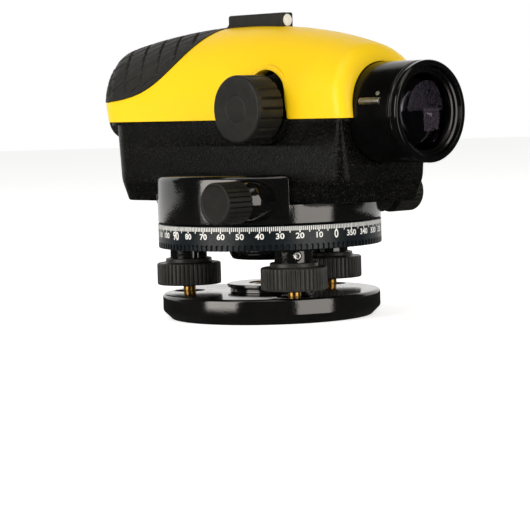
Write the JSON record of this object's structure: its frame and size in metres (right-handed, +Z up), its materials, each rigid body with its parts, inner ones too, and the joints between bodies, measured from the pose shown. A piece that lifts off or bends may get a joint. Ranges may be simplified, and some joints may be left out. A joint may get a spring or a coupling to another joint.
{
  "type": "automatic level",
  "caption": "Surveying automatic level: telescope with peep sight, focus and fine-drive knobs, a degree circle and a three-screw levelling base.",
  "frame": {"origin": "on the vertical axis, at the underside of the base plate", "axes": "+X along the line of sight towards the objective, +Z up along the vertical axis, -Y towards the focusing knob side"},
  "size_m": [0.199, 0.12, 0.1348],
  "materials": {
    "gloss_black_paint": "semi-gloss black enamel with slight orange peel",
    "matt_black_paint": "matt black fine-texture paint",
    "black_rubber": "dark grey-black moulded rubber, ribbed for grip",
    "yellow_plastic": "yellow satin moulded plastic",
    "circle_plastic": "dark blue-black circle with white divisions",
    "brass": "turned brass",
    "steel": "bright steel",
    "aluminium": "machined aluminium",
    "optical_glass": "coated optical glass",
    "white_plastic": "white moulded plastic"
  },
  "bodies": {
    "base": {"base_plate": "gloss_black_paint", "thread_bush": "brass", "spring_plate": "steel", "spring_screw_1": "steel", "spring_screw_2": "steel", "spring_screw_3": "steel"},
    "foot_screw_1": {"foot_spindle_1": "brass", "foot_knob_1": "black_rubber"},
    "foot_screw_2": {"foot_spindle_2": "brass", "foot_knob_2": "black_rubber"},
    "foot_screw_3": {"foot_spindle_3": "brass", "foot_knob_3": "black_rubber"},
    "tribrach": {"tribrach": "gloss_black_paint", "spindle_bearing": "brass", "foot_set_screw_1": "steel", "foot_set_screw_2": "steel", "foot_set_screw_3": "steel"},
    "circle": {"horizontal_circle": "circle_plastic"},
    "alidade": {"alidade_housing": "gloss_black_paint", "access_screw": "steel", "vertical_spindle": "steel", "spindle_nut": "steel", "shaft_bush_near": "matt_black_paint", "shaft_bush_far": "matt_black_paint", "circle_index": "white_plastic", "main_body": "matt_black_paint", "top_cover": "yellow_plastic", "rear_grip": "black_rubber", "sight_body": "black_rubber", "sight_window": "white_plastic", "objective_tube": "gloss_black_paint", "objective_rim": "gloss_black_paint", "objective_lens": "optical_glass", "focus_bearing": "matt_black_paint", "eyepiece_tube": "gloss_black_paint", "reticle_cell": "brass", "reticle_glass": "optical_glass", "compensator_frame": "aluminium", "damper_magnet": "steel", "bubble_housing": "matt_black_paint", "bubble_vial": "optical_glass"},
    "worm_wheel": {"worm_wheel": "brass"},
    "fine_drive": {"worm_shaft": "steel", "fine_knob_near": "black_rubber", "fine_knob_far": "black_rubber"},
    "focus_drive": {"focus_shaft": "steel", "focus_knob": "black_rubber"},
    "focus_carriage": {"focus_carriage": "aluminium", "focus_lens": "optical_glass"},
    "eyepiece_ring": {"eyepiece_ring": "black_rubber"},
    "eyepiece_cell": {"eye_cell": "aluminium", "eye_lens": "optical_glass"},
    "pendulum": {"pendulum_flexure": "steel", "pendulum": "brass", "pendulum_prism": "optical_glass"}
  },
  "joints": [
    {"name": "foot_screw_1_turn", "type": "hinge", "parent": "base", "child": "foot_screw_1", "pos_m": [-0.03283, -0.02012, 0], "axis": [0, 0, 1], "range_deg": [-900, 900]},
    {"name": "foot_screw_2_turn", "type": "hinge", "parent": "base", "child": "foot_screw_2", "pos_m": [0.03383, -0.01837, 0], "axis": [0, 0, 1], "range_deg": [-900, 900]},
    {"name": "foot_screw_3_turn", "type": "hinge", "parent": "base", "child": "foot_screw_3", "pos_m": [-0.00101, 0.03849, 0], "axis": [0, 0, 1], "range_deg": [-900, 900]},
    {"name": "levelling_lift", "type": "slide", "parent": "base", "child": "tribrach", "axis": [0, 0, 1], "range_m": [-0.0025, 0.0025]},
    {"name": "circle_turn", "type": "hinge", "parent": "tribrach", "child": "circle", "pos_m": [0, 0, 0.038], "axis": [0, 0, 1], "continuous": true},
    {"name": "azimuth_turn", "type": "hinge", "parent": "tribrach", "child": "alidade", "pos_m": [0, 0, 0.05], "axis": [0, 0, 1], "continuous": true},
    {"name": "fine_drive_turn", "type": "hinge", "parent": "alidade", "child": "fine_drive", "pos_m": [0.03, 0, 0.0535], "axis": [0, 1, 0], "continuous": true},
    {"name": "worm_wheel_turn", "type": "hinge", "parent": "alidade", "child": "worm_wheel", "pos_m": [0, 0, 0.0535], "axis": [0, 0, 1], "continuous": true},
    {"name": "focus_turn", "type": "hinge", "parent": "alidade", "child": "focus_drive", "pos_m": [0.0275, 0, 0.0929], "axis": [0, 1, 0], "range_deg": [-175, 175]},
    {"name": "focus_slide", "type": "slide", "parent": "alidade", "child": "focus_carriage", "axis": [1, 0, 0], "range_m": [-0.0098, 0.0098]},
    {"name": "eyepiece_turn", "type": "hinge", "parent": "alidade", "child": "eyepiece_ring", "pos_m": [-0.09, 0, 0.09], "axis": [1, 0, 0], "range_deg": [-150, 150]},
    {"name": "eyepiece_slide", "type": "slide", "parent": "alidade", "child": "eyepiece_cell", "axis": [1, 0, 0], "range_m": [-0.0011, 0.0011]},
    {"name": "compensator_swing", "type": "hinge", "parent": "alidade", "child": "pendulum", "pos_m": [-0.014, 0, 0.111], "axis": [0, 1, 0], "range_deg": [-0.5, 0.5]}
  ],
  "couplings": [
    {"joint": "foot_screw_1_turn", "follows": "levelling_lift", "rad_per_m": -6283.2},
    {"joint": "foot_screw_2_turn", "follows": "levelling_lift", "rad_per_m": -6283.2},
    {"joint": "foot_screw_3_turn", "follows": "levelling_lift", "rad_per_m": -6283.2},
    {"joint": "worm_wheel_turn", "follows": "fine_drive_turn", "ratio": -0.025},
    {"joint": "focus_slide", "follows": "focus_turn", "m_per_rad": -0.0032},
    {"joint": "eyepiece_slide", "follows": "eyepiece_turn", "m_per_rad": 0.0004}
  ]
}
